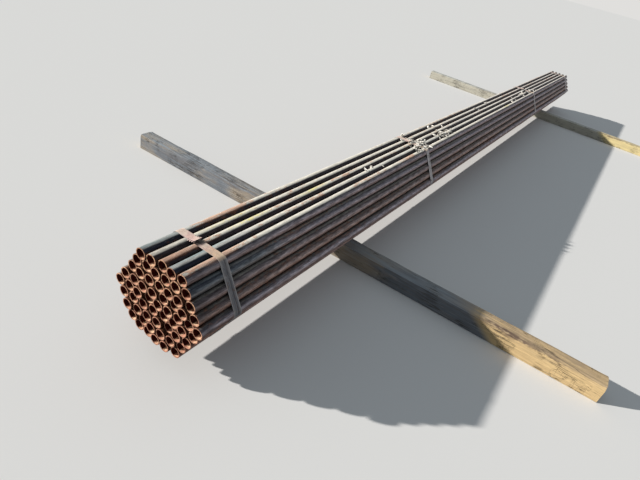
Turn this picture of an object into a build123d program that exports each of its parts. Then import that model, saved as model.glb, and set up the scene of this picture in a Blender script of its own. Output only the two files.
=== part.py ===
from build123d import *

import math
import os

# A hexagonal bundle of steel pipes, strapped four times, lying on two timber bearers.
# Millimetres. +Y runs along the pipes, away from the end that faces the viewer, and +Z is up.
# The origin is on the floor, under the middle of the bundle.

# Pipes
PIPE_OUTER_DIAMETER = 42.16
PIPE_WALL = 3.56
PIPE_LENGTH = 6401.0
PIPE_GAP = 0.6
PIPES_PER_SIDE = 5

# Unevenness of the pipe ends: the end as a whole slants back to the right and towards the top,
# and no pipe's end lies quite in that plane
END_SLANT = 0.041
END_LEAN = 0.036
END_RIPPLE = 2.0
RIPPLE_STEPS = 5
# Pipes that have slipped back, or forward where negative, by row from the top and place from the left
END_SLIPS = {
    (1, 3): 5.0,
    (2, 1): 5.0,
    (2, 2): 7.0,
    (3, 1): 9.0,
    (3, 5): -6.0,
    (3, 6): -7.0,
    (4, 3): -6.0,
    (4, 4): -5.0,
    (4, 6): 4.0,
    (4, 7): -6.0,
    (5, 3): -5.0,
    (5, 4): 4.0,
    (5, 8): 5.0,
    (5, 9): -4.0,
    (6, 4): 4.0,
    (6, 5): 8.0,
    (6, 6): 7.0,
    (6, 8): 4.0,
    (7, 1): -6.0,
    (7, 5): 12.0,
    (7, 7): 5.0,
    (8, 2): 6.0,
    (8, 6): 7.0,
    (9, 1): 10.0,
    (9, 2): 9.0,
    (9, 5): 6.0,
}

# Steel straps
STRAP_WIDTH = 31.75
STRAP_THICKNESS = 0.8
STRAP_CLEARANCE = 0.3
# Middles of the straps: the outer two from both ends, the inner two each from its own end
STRAP_FROM_END = 171.0
STRAP_FROM_NEAR_END = 1795.0
STRAP_FROM_FAR_END = 1930.0
LAP_LENGTH = 74.0
LAP_END_BEFORE_CENTRE = 9.0
LAP_GAP = 0.2
LAP_RAMP = 60.0
NOTCHES = 3
NOTCH_PITCH = 9.0
NOTCH_WIDTH = 3.5
NOTCH_DEPTH = 4.0
NOTCH_FROM_LAP_END = 8.0

# Timber bearers
BEARER_WIDTH = 89.0
BEARER_HEIGHT = 89.0
BEARER_LENGTH = 2680.0
BEARER_EDGE_RADIUS = 3.0
BEARER_FROM_NEAR_END = 1095.0
BEARER_FROM_FAR_END = 850.0
BEARER_NEAR_ANGLE = 2.0
BEARER_FAR_ANGLE = 1.5
SEAT_CLEARANCE = 0.3

# Worked out from the sizes above
PIPE_RADIUS = PIPE_OUTER_DIAMETER / 2
BORE_RADIUS = PIPE_RADIUS - PIPE_WALL
PITCH = PIPE_OUTER_DIAMETER + PIPE_GAP
ROW_RISE = PITCH * math.sqrt(3) / 2
ROWS = 2 * PIPES_PER_SIDE - 1
MIDDLE_ROW = PIPES_PER_SIDE
SIDE_SPAN = (PIPES_PER_SIDE - 1) * PITCH
HEX_CORNERS = 6
HEX_TURN = 360 / HEX_CORNERS
# From the bundle's own axis to the line that its top pipes touch, and from the floor to that axis
TOP = (PIPES_PER_SIDE - 1) * ROW_RISE + PIPE_RADIUS
AXIS_HEIGHT = BEARER_HEIGHT + SEAT_CLEARANCE + TOP
# Levels of the strap's two faces above the pipes, and of the lap's
STRAP_INNER = STRAP_CLEARANCE
STRAP_OUTER = STRAP_INNER + STRAP_THICKNESS
LAP_INNER = STRAP_OUTER + LAP_GAP
LAP_OUTER = LAP_INNER + STRAP_THICKNESS


def pipes_in_row(row):
    """How many pipes lie in a row, counted from the top."""
    return ROWS - abs(row - MIDDLE_ROW)


def pipe_axis(row, place):
    """Where a pipe's axis crosses the bundle's section: x, and z above the bundle's own axis."""
    x = (place - (pipes_in_row(row) + 1) / 2) * PITCH
    z = (MIDDLE_ROW - row) * ROW_RISE
    return x, z


def raw_set_back(row, place):
    """How far a pipe's near end lies back: the whole end's slant and lean, a ripple and its own slip."""
    x, z = pipe_axis(row, place)
    ripple = END_RIPPLE * ((3 * row + 2 * place) % RIPPLE_STEPS) / (RIPPLE_STEPS - 1)
    return END_SLANT * x + END_LEAN * z + ripple + END_SLIPS.get((row, place), 0.0)


PLACES = [(row, place) for row in range(1, ROWS + 1) for place in range(1, pipes_in_row(row) + 1)]
FOREMOST = min(raw_set_back(row, place) for row, place in PLACES)
HINDMOST = max(raw_set_back(row, place) for row, place in PLACES)
BUNDLE_LENGTH = PIPE_LENGTH + HINDMOST - FOREMOST


def along(distance):
    """The y of a point that lies this far behind the foremost pipe end."""
    return distance - BUNDLE_LENGTH / 2


def pipe_near_end(row, place):
    """The y of a pipe's near end."""
    return along(raw_set_back(row, place) - FOREMOST)


def pipe(row, place):
    """One pipe: a plain tube with square-cut ends."""
    x, z = pipe_axis(row, place)
    tube = Circle(PIPE_RADIUS) - Circle(BORE_RADIUS)
    near_end = Plane(
        origin=(x, pipe_near_end(row, place), AXIS_HEIGHT + z),
        x_dir=(1, 0, 0),
        z_dir=(0, 1, 0),
    )
    return extrude(near_end * tube, PIPE_LENGTH)


def pipe_row(row):
    """All the pipes of one row, which don't touch each other."""
    return Compound(children=[pipe(row, place) for place in range(1, pipes_in_row(row) + 1)])


def around(number, degrees, level):
    """A point round a corner pipe, this far outside its surface. Corner 0 is on the right, 1 above it."""
    corner = math.radians(HEX_TURN * number)
    angle = math.radians(degrees)
    reach = PIPE_RADIUS + level
    x = SIDE_SPAN * math.cos(corner) + reach * math.cos(angle)
    z = SIDE_SPAN * math.sin(corner) + reach * math.sin(angle)
    return Vector(x, z)


def climb(here, number, level, lap_level):
    """The straight runs up to the last corner, on which the strap rises to the level of its lap."""
    facing = HEX_TURN * (number + 0.5)
    before = around(number + 1, facing, lap_level)
    after = around(number, facing, lap_level)
    run = (after - before).normalized()
    drop = around(number, facing, level) - after
    middle = (before + after) / 2
    foot = middle - run * (LAP_RAMP / 2) + drop
    head = middle + run * (LAP_RAMP / 2)
    return [Edge.make_line(here, foot), Edge.make_line(foot, head), Edge.make_line(head, after)]


def strap_side(level, lap_level):
    """One face of the strap's section, from its covered end clockwise round to its lapping end."""
    last = 2 - HEX_CORNERS
    edges = []
    here = Vector(-LAP_END_BEFORE_CENTRE - LAP_LENGTH, TOP + level)
    for number in range(1, last - 1, -1):
        height = lap_level if number == last else level
        arrive = around(number, HEX_TURN * (number + 0.5), height)
        bend = around(number, HEX_TURN * number, height)
        leave = around(number, HEX_TURN * (number - 0.5), height)
        if number == last:
            edges += climb(here, number, level, lap_level)
        else:
            edges.append(Edge.make_line(here, arrive))
        edges.append(Edge.make_three_point_arc(arrive, bend, leave))
        here = leave
    edges.append(Edge.make_line(here, Vector(-LAP_END_BEFORE_CENTRE, TOP + lap_level)))
    return edges


def notches(distance):
    """The cutters of the notches, in pairs, through both layers of the lap at the strap's edges."""
    first = -LAP_END_BEFORE_CENTRE - NOTCH_FROM_LAP_END
    height = AXIS_HEIGHT + TOP + LAP_OUTER / 2
    cutter = Box(NOTCH_WIDTH, 2 * NOTCH_DEPTH, 2 * LAP_OUTER)
    return [
        Pos(first - NOTCH_PITCH * step, along(distance) + side * STRAP_WIDTH / 2, height) * cutter
        for step in range(NOTCHES)
        for side in (-1, 1)
    ]


def strap(distance):
    """One strap: a single strip round the bundle, lapped on top and notched to lock the lap."""
    inside = strap_side(STRAP_INNER, LAP_INNER)
    outside = strap_side(STRAP_OUTER, LAP_OUTER)
    covered_end = Edge.make_line(inside[0] @ 0, outside[0] @ 0)
    lapping_end = Edge.make_line(inside[-1] @ 1, outside[-1] @ 1)
    section = Face(Wire(inside + outside + [covered_end, lapping_end]))
    upright = Plane(
        origin=(0, along(distance) + STRAP_WIDTH / 2, AXIS_HEIGHT),
        x_dir=(1, 0, 0),
        z_dir=(0, -1, 0),
    )
    band = extrude(upright * section, STRAP_WIDTH, dir=(0, -1, 0))
    return band - notches(distance)


def bearer(distance, angle):
    """One timber bearer under the pipes, not quite square to them, with its long edges eased."""
    timber = Box(BEARER_LENGTH, BEARER_WIDTH, BEARER_HEIGHT)
    timber = fillet(timber.edges().filter_by(Axis.X), BEARER_EDGE_RADIUS)
    return Pos(0, along(distance), BEARER_HEIGHT / 2) * Rot(0, 0, angle) * timber


NODES = {f"pipe_row_{row}": pipe_row(row) for row in range(1, ROWS + 1)}
NODES["strap_near_end"] = strap(STRAP_FROM_END)
NODES["strap_near_middle"] = strap(STRAP_FROM_NEAR_END)
NODES["strap_far_middle"] = strap(BUNDLE_LENGTH - STRAP_FROM_FAR_END)
NODES["strap_far_end"] = strap(BUNDLE_LENGTH - STRAP_FROM_END)
NODES["bearer_near"] = bearer(BEARER_FROM_NEAR_END, BEARER_NEAR_ANGLE)
NODES["bearer_far"] = bearer(BUNDLE_LENGTH - BEARER_FROM_FAR_END, BEARER_FAR_ANGLE)

os.makedirs("parts", exist_ok=True)
for name, shape in NODES.items():
    export_step(shape, f"parts/{name}.step")
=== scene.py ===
"""A bundle of iron pipes: sixty-one steel pipes in a hexagon, four steel straps and two timber bearers."""

import math
import random

import bmesh
import bpy
import numpy as np
from mathutils import Matrix, Vector, noise


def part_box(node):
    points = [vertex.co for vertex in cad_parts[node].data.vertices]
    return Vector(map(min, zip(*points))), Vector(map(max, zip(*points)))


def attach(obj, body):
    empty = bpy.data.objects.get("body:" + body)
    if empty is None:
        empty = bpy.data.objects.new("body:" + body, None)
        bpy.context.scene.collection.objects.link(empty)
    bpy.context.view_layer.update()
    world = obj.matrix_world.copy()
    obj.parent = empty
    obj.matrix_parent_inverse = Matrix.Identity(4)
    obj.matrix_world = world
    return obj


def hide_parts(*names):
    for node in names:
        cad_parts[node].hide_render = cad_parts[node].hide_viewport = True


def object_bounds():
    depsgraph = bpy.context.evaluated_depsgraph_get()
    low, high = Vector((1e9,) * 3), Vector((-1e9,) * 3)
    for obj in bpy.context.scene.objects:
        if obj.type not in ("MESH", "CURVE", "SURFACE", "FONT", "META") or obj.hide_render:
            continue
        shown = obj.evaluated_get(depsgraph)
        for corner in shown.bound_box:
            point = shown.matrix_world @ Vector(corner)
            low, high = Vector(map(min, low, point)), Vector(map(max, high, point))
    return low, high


bl_info = {
    "name": "Pipe bundle",
    "version": (1, 0, 0),
    "blender": (4, 5, 0),
    "location": "View3D > Sidebar > Pipes",
    "description": "Dresses a strapped hexagonal bundle of iron pipes that lies on two timbers",
    "category": "Object",
}

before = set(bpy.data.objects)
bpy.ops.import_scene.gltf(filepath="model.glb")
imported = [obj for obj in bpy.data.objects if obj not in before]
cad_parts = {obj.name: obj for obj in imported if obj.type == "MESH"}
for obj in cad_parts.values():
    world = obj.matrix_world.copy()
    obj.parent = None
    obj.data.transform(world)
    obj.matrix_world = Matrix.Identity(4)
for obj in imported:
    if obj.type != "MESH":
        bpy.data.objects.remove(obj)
CAD_LOW, CAD_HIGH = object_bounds()

MM = 0.001
X, Y, Z = range(3)
BODY = "root"
ROWS = [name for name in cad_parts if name.startswith("pipe_row_")]
ROWS.sort(key=lambda name: int(name.split("_")[-1]))
MIDDLE_ROW = (len(ROWS) + 1) // 2
STRAPS = sorted(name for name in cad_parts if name.startswith("strap_"))
NEAR_END_Y = CAD_LOW.y
_, TOP_ROW_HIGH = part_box(ROWS[0])
LOWEST_ROW_LOW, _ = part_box(ROWS[-1])
AXIS_Z = (TOP_ROW_HIGH.z + LOWEST_ROW_LOW.z) / 2
# Degrees from one corner of the hexagon to the next
SIXTH = 60


# Settings


def a_length(name, text, value):
    """A size that the user can change, in metres."""
    return bpy.props.FloatProperty(name=name, description=text, default=value, unit="LENGTH")


def an_angle(name, text, degrees):
    """An angle that the user can change."""
    value = math.radians(degrees)
    return bpy.props.FloatProperty(name=name, description=text, default=value, subtype="ANGLE")


def a_colour(name, text, value):
    """A colour that the user can change."""
    return bpy.props.FloatVectorProperty(name=name, description=text, default=value, subtype="COLOR")


class PipeSettings(bpy.types.PropertyGroup):
    """Sizes and colours of the pipes."""

    outer_diameter: a_length("Outer diameter", "Outside diameter of a pipe", 42.16 * MM)
    wall: a_length("Wall", "Thickness of a pipe's wall", 3.56 * MM)
    length: a_length("Length", "Length of a pipe", 6.401)
    pitch: a_length("Pitch", "Distance between the axes of two neighbours", 42.76 * MM)
    rim: a_length("Rim", "Width of the rounding at a sawn rim", 0.45 * MM)
    flats: bpy.props.IntProperty(name="Flats", description="Faces round a pipe", default=40, min=12)
    steps: bpy.props.IntProperty(name="Steps", description="Cuts along an outer pipe", default=48, min=1)
    scale_colour: a_colour("Mill scale", "Blue-grey mill scale", (0.015, 0.023, 0.038))
    film_colour: a_colour("Brown film", "Thin brown rust film on the scale", (0.060, 0.044, 0.043))
    rust_colour: a_colour("Rust", "Open orange rust", (0.33, 0.135, 0.070))
    # The sheen colour is a painted sheen: the pale reflection along the crests of the flanks.
    sheen_colour: a_colour("Sheen", "Greyer skin where slings and hands rub", (0.84, 0.73, 0.71))
    # The bloom colour is dust bloom and a painted sun highlight together.
    bloom_and_highlight_colour: a_colour("Bloom", "Pale dusty bloom on surfaces that face up", (0.99, 0.93, 0.80))
    sawn_colour: a_colour("Sawn end", "Flash rust on a sawn rim", (0.70, 0.34, 0.225))
    bore_colour: a_colour("Bore", "Dark red rust inside a pipe", (0.065, 0.010, 0.006))
    chalk_colour: a_colour("Chalk", "Yellow marking chalk", (0.86, 0.77, 0.24))


class StrapSettings(bpy.types.PropertyGroup):
    """Sizes and colours of the steel straps."""

    width: a_length("Width", "Width of a strap", 31.75 * MM)
    thickness: a_length("Thickness", "Thickness of the strip", 0.8 * MM)
    clearance: a_length("Clearance", "Room between a strap and the pipes", 0.3 * MM)
    lap: a_length("Lap", "Length of the lap on top", 74 * MM)
    lap_end: a_length("Lap end", "Where the outer layer ends, from the middle", -9 * MM)
    curl: a_length("Curl", "How far the back edge stands up", 1.9 * MM)
    lift: a_length("Lift", "How far the lapping end stands up", 8.5 * MM)
    tail: a_length("Tail", "Length that stands up", 44 * MM)
    steel_colour: a_colour("Steel", "Blue-grey strapping steel", (0.105, 0.115, 0.140))
    worn_colour: a_colour("Worn", "Pale pinkish wear on top", (0.95, 0.74, 0.60))


class BearerSettings(bpy.types.PropertyGroup):
    """Sizes and colours of the timber bearers."""

    section: a_length("Section", "Side of the square timber", 89 * MM)
    length: a_length("Length", "Length of a timber", 2.68)
    edge: a_length("Edge", "Rounding of the long edges", 3 * MM)
    near_angle: an_angle("Near angle", "Turn of the near timber", 2.0)
    far_angle: an_angle("Far angle", "Turn of the far timber", 1.5)
    # The weathered grey is wood colour with a painted cool cast of shade light added.
    grey_colour: a_colour("Weathered", "Silver-grey weathered wood", (0.205, 0.232, 0.262))
    tan_colour: a_colour("Tan", "Yellow-tan wood", (0.93, 0.67, 0.34))
    new_colour: a_colour("New", "Newer wood of the far timber", (0.96, 0.79, 0.40))


class LitterSettings(bpy.types.PropertyGroup):
    """Amount and colour of the dry leaves."""

    count: bpy.props.IntProperty(name="Leaves", description="Leaves in the drifts", default=112, min=1)
    size: a_length("Size", "Length of a leaf", 31 * MM)
    leaf_colour: a_colour("Leaf", "Dry leaf", (0.92, 0.88, 0.80))


class StageSettings(bpy.types.PropertyGroup):
    """Camera, light and floor."""

    camera_place: bpy.props.FloatVectorProperty(
        name="Camera",
        description="Where the camera stands",
        default=(0.8752, -3.9714, 1.3376),
        subtype="XYZ",
    )
    camera_turn: an_angle("Turn", "Camera's turn to the left of the pipes", 26.672)
    camera_dip: an_angle("Dip", "Camera's dip under the horizon", 32.556)
    camera_roll: an_angle("Roll", "Camera's roll", 15.007)
    lens: bpy.props.FloatProperty(name="Lens", description="Focal length, sensor 36 mm wide", default=27.0)
    floor_colour: a_colour("Floor", "Plain pale floor", (0.83, 0.82, 0.80))
    key: bpy.props.FloatProperty(name="Key", description="Strength of the key light", default=5.1)
    key_softness: an_angle("Key softness", "Width of the key light", 1.0)
    fill: bpy.props.FloatProperty(name="Fill", description="Strength of the light all round", default=0.30)


# Selecting and finishing


def only(piece):
    """Leaves object mode and selects this piece alone."""
    if bpy.context.mode != "OBJECT":
        bpy.ops.object.mode_set(mode="OBJECT")
    bpy.ops.object.select_all(action="DESELECT")
    if piece is not None:
        piece.select_set(True)
        bpy.context.view_layer.objects.active = piece


def added(name):
    """Names the primitive that was just added."""
    piece = bpy.context.object
    piece.name = name
    piece.data.name = name
    return piece


def pick(piece, kind, test):
    """Selects, in edit mode, the vertices, edges or faces that pass the test."""
    bpy.ops.mesh.select_mode(type=kind)
    bpy.ops.mesh.select_all(action="DESELECT")
    mesh = bmesh.from_edit_mesh(piece.data)
    for part in {"VERT": mesh.verts, "EDGE": mesh.edges, "FACE": mesh.faces}[kind]:
        if test(part):
            part.select_set(True)
    mesh.select_flush_mode()
    bmesh.update_edit_mesh(piece.data)


def pick_long_edges(piece, axis, length):
    """Selects the edges that run along most of the piece."""
    pick(piece, "EDGE", lambda edge: abs(edge.verts[0].co[axis] - edge.verts[1].co[axis]) > length / 2)


def modify(piece, kind, **values):
    """Adds a modifier with these values and applies it."""
    only(piece)
    modifier = piece.modifiers.new(kind.title(), kind)
    for name, value in values.items():
        setattr(modifier, name, value)
    bpy.ops.object.modifier_apply(modifier=modifier.name)


def settle(piece):
    """Puts the piece's place, turn and size into its mesh."""
    only(piece)
    bpy.ops.object.transform_apply(location=True, rotation=True, scale=True)


def join(pieces, name):
    """Joins pieces into the first one."""
    only(pieces[0])
    for piece in pieces[1:]:
        piece.select_set(True)
    if len(pieces) > 1:
        bpy.ops.object.join()
    return added(name)


def give_materials(piece, *materials):
    """Fills the piece's material slots in this order."""
    for material in materials:
        piece.data.materials.append(material)


def set_attribute(mesh, name, values):
    """Writes one number for each vertex."""
    attribute = mesh.attributes.get(name) or mesh.attributes.new(name, "FLOAT", "POINT")
    attribute.data.foreach_set("value", np.asarray(values, np.float32))


def points_of(mesh):
    """The mesh's vertices as rows of x, y, z."""
    places = np.zeros(len(mesh.vertices) * 3, np.float32)
    mesh.vertices.foreach_get("co", places)
    return places.reshape(-1, 3)


# Nodes


class Sheet:
    """A node tree, with short ways to add nodes and links."""

    def __init__(self, tree):
        self.tree = tree

    def feed(self, socket, value):
        """Links an input to another node's output, or sets its own value."""
        if isinstance(value, bpy.types.NodeSocket):
            self.tree.links.new(value, socket)
        else:
            socket.default_value = value

    def add(self, kind, inputs=None, **values):
        """A new node with these values, and its inputs fed by name or number."""
        node = self.tree.nodes.new(kind)
        for name, value in values.items():
            setattr(node, name, value)
        for name, value in (inputs or {}).items():
            self.feed(node.inputs[name], value)
        return node

    def math(self, operation, *inputs, clamp=False):
        node = self.add("ShaderNodeMath", dict(enumerate(inputs)), operation=operation, use_clamp=clamp)
        return node.outputs[0]

    def plus(self, first, second, clamp=False):
        return self.math("ADD", first, second, clamp=clamp)

    def minus(self, first, second):
        return self.math("SUBTRACT", first, second)

    def times(self, first, second, clamp=False):
        return self.math("MULTIPLY", first, second, clamp=clamp)

    def vector(self, operation, *inputs):
        return self.add("ShaderNodeVectorMath", dict(enumerate(inputs)), operation=operation).outputs[0]

    def stretch(self, vector, factors):
        return self.vector("MULTIPLY", vector, factors)

    def axis(self, vector, name):
        return self.add("ShaderNodeSeparateXYZ", {0: vector}).outputs[name]

    def place(self):
        """Where a point of the surface lies."""
        return self.add("ShaderNodeTexCoord").outputs["Object"]

    def normal(self):
        """Which way the surface faces."""
        return self.add("ShaderNodeNewGeometry").outputs["Normal"]

    def attribute(self, name):
        return self.add("ShaderNodeAttribute", attribute_name=name).outputs["Fac"]

    def noise(self, vector, scale, detail=3.0, rough=0.55, distortion=0.0):
        """Noise of one scale, or of its own scale in each direction."""
        if isinstance(scale, tuple):
            vector, scale = self.stretch(vector, scale), 1.0
        inputs = {"Vector": vector, "Scale": scale, "Detail": detail, "Roughness": rough}
        return self.add("ShaderNodeTexNoise", {**inputs, "Distortion": distortion}).outputs["Fac"]

    def span(self, value, low, high, to_low=0.0, to_high=1.0, smooth=True):
        """The value's way from low to high, led to another span."""
        inputs = {"Value": value, "From Min": low, "From Max": high, "To Min": to_low, "To Max": to_high}
        kind = "SMOOTHSTEP" if smooth else "LINEAR"
        return self.add("ShaderNodeMapRange", inputs, interpolation_type=kind).outputs["Result"]

    def mix(self, share, first, second, blend="MIX"):
        """Two colours mixed by the second one's share."""
        inputs = {0: share}
        for index, colour in ((6, first), (7, second)):
            linked = isinstance(colour, bpy.types.NodeSocket)
            inputs[index] = colour if linked else (*colour[:3], 1.0)
        node = self.add("ShaderNodeMix", inputs, data_type="RGBA", blend_type=blend, clamp_factor=True)
        return node.outputs[2]

    def coat(self, under, over, mask, strength):
        """A colour laid over another one where the mask is, this strongly."""
        return self.mix(self.times(mask, strength), under, over)

    def tint(self, colour, by):
        return self.mix(1.0, colour, by, blend="MULTIPLY")

    def group(self, name, **inputs):
        """The outputs of a shared node group, which is built the first time that it is asked for."""
        tree = bpy.data.node_groups.get(name) or GROUP_MAKERS[name]()
        inputs = {socket.capitalize(): value for socket, value in inputs.items()}
        return self.add("ShaderNodeGroup", inputs, node_tree=tree).outputs

    def rust(self, vector, amount, grain):
        return self.group("Rust patches", vector=vector, amount=amount, grain=grain)

    def streaks(self, vector, stretch, low=0.3, high=0.7):
        return self.group("Streaks", vector=vector, stretch=stretch, low=low, high=high)["Value"]

    def scratches(self, vector, stretch, width):
        return self.group("Scratches", vector=vector, stretch=stretch, width=width)["Mask"]

    def bloom_and_highlight(self, vector, stretch, low, high, broken, facing=(0.0, 0.0, 1.0)):
        limits = {"facing": facing, "low": low, "high": high, "broken": broken}
        return self.group("Facing mask", vector=self.stretch(vector, stretch), **limits)["Mask"]


def new_group(name, inputs, outputs):
    """Starts a node group that reads a vector and these inputs. Returns its sheet, inputs and outputs."""
    tree = bpy.data.node_groups.new(name, "ShaderNodeTree")
    tree.interface.new_socket(name="Vector", in_out="INPUT", socket_type="NodeSocketVector")
    for socket, default in inputs.items():
        kind = "NodeSocketVector" if isinstance(default, tuple) else "NodeSocketFloat"
        tree.interface.new_socket(name=socket, in_out="INPUT", socket_type=kind).default_value = default
    for socket in outputs:
        tree.interface.new_socket(name=socket, in_out="OUTPUT", socket_type="NodeSocketFloat")
    sheet = Sheet(tree)
    return sheet, sheet.add("NodeGroupInput").outputs, sheet.add("NodeGroupOutput").inputs


def streaks_group():
    """Uneven streaks: noise stretched by its own scale in each direction."""
    inputs = {"Stretch": (50.0, 1.5, 50.0), "Low": 0.35, "High": 0.65}
    sheet, given, made = new_group("Streaks", inputs, ["Value"])
    place = sheet.stretch(given["Vector"], given["Stretch"])
    value = sheet.noise(place, 1.0, detail=4.0, rough=0.6, distortion=0.3)
    sheet.feed(made["Value"], sheet.span(value, given["Low"], given["High"]))
    return sheet.tree


def rust_group():
    """Patches of rust that grow with the amount: where they are, how open the rust is, and how rough."""
    outputs = ["Mask", "Openness", "Height"]
    sheet, given, made = new_group("Rust patches", {"Amount": 0.4, "Grain": 60.0}, outputs)
    broad = sheet.noise(given["Vector"], given["Grain"], detail=2.0)
    fine = sheet.noise(given["Vector"], sheet.times(given["Grain"], 7.0), detail=4.0, rough=0.7)
    both = sheet.plus(sheet.times(broad, 0.68), sheet.times(fine, 0.32))
    over = sheet.minus(both, sheet.minus(0.78, sheet.times(given["Amount"], 0.56)))
    mask = sheet.span(over, -0.035, 0.045)
    sheet.feed(made["Mask"], mask)
    sheet.feed(made["Openness"], sheet.span(sheet.plus(over, sheet.times(fine, 0.18)), 0.08, 0.30))
    sheet.feed(made["Height"], sheet.times(mask, fine))
    return sheet.tree


def facing_mask_group():
    """How much a surface faces one way, broken up by noise: a mask for dust, bloom and weathering, and for
    painted highlights and painted light.
    """
    inputs = {"Facing": (0.0, 0.0, 1.0), "Low": 0.1, "High": 0.9, "Broken": 0.5}
    sheet, given, made = new_group("Facing mask", inputs, ["Mask"])
    facing = {0: sheet.normal(), 1: given["Facing"]}
    facing = sheet.add("ShaderNodeVectorMath", facing, operation="DOT_PRODUCT").outputs["Value"]
    up = sheet.span(facing, given["Low"], given["High"])
    patchy = sheet.span(sheet.noise(given["Vector"], 1.0, detail=5.0, rough=0.65), 0.30, 0.68)
    share = sheet.plus(sheet.minus(1.0, given["Broken"]), sheet.times(patchy, given["Broken"]))
    sheet.feed(made["Mask"], sheet.times(up, share, clamp=True))
    return sheet.tree


def scratch_group():
    """Fine broken scratches along a piece."""
    inputs = {"Stretch": (300.0, 9.0, 300.0), "Width": 0.012}
    sheet, given, made = new_group("Scratches", inputs, ["Mask"])
    place = sheet.stretch(given["Vector"], given["Stretch"])
    line = sheet.math("ABSOLUTE", sheet.minus(sheet.noise(place, 1.0, detail=1.0), 0.5))
    thin = sheet.minus(1.0, sheet.span(line, 0.0, given["Width"]))
    broken = sheet.span(sheet.noise(given["Vector"], 9.0, detail=2.0), 0.50, 0.60)
    sheet.feed(made["Mask"], sheet.times(thin, broken))
    return sheet.tree


GROUP_MAKERS = {
    "Streaks": streaks_group,
    "Rust patches": rust_group,
    "Facing mask": facing_mask_group,
    "Scratches": scratch_group,
}


# Materials


def new_material(name, metallic=0.0, specular=0.5):
    """An empty material and the sheet of its nodes."""
    material = bpy.data.materials.new(name)
    material.use_nodes = True
    shader = material.node_tree.nodes["Principled BSDF"]
    shader.inputs["Metallic"].default_value = metallic
    shader.inputs["Specular IOR Level"].default_value = specular
    return material, Sheet(material.node_tree)


def finish_material(sheet, colour, roughness, height=None, depth=0.0):
    """Feeds colour, roughness and bump to the material's shader."""
    shader = sheet.tree.nodes["Principled BSDF"]
    sheet.feed(shader.inputs["Base Color"], colour)
    sheet.feed(shader.inputs["Roughness"], roughness)
    if height is not None:
        bump = sheet.add("ShaderNodeBump", {"Height": height, "Strength": 1.0, "Distance": depth})
        sheet.feed(shader.inputs["Normal"], bump.outputs["Normal"])


def scaled(colour, by):
    """The same colour, lighter or darker."""
    return tuple(by * part for part in colour)


def near_mouth(sheet, place, fade, full):
    """A mask at both ends of the pipes: it starts this far in and is full this far in."""
    end = abs(NEAR_END_Y)
    return sheet.span(sheet.math("ABSOLUTE", sheet.axis(place, "Y")), end - fade, end - full)


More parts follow.
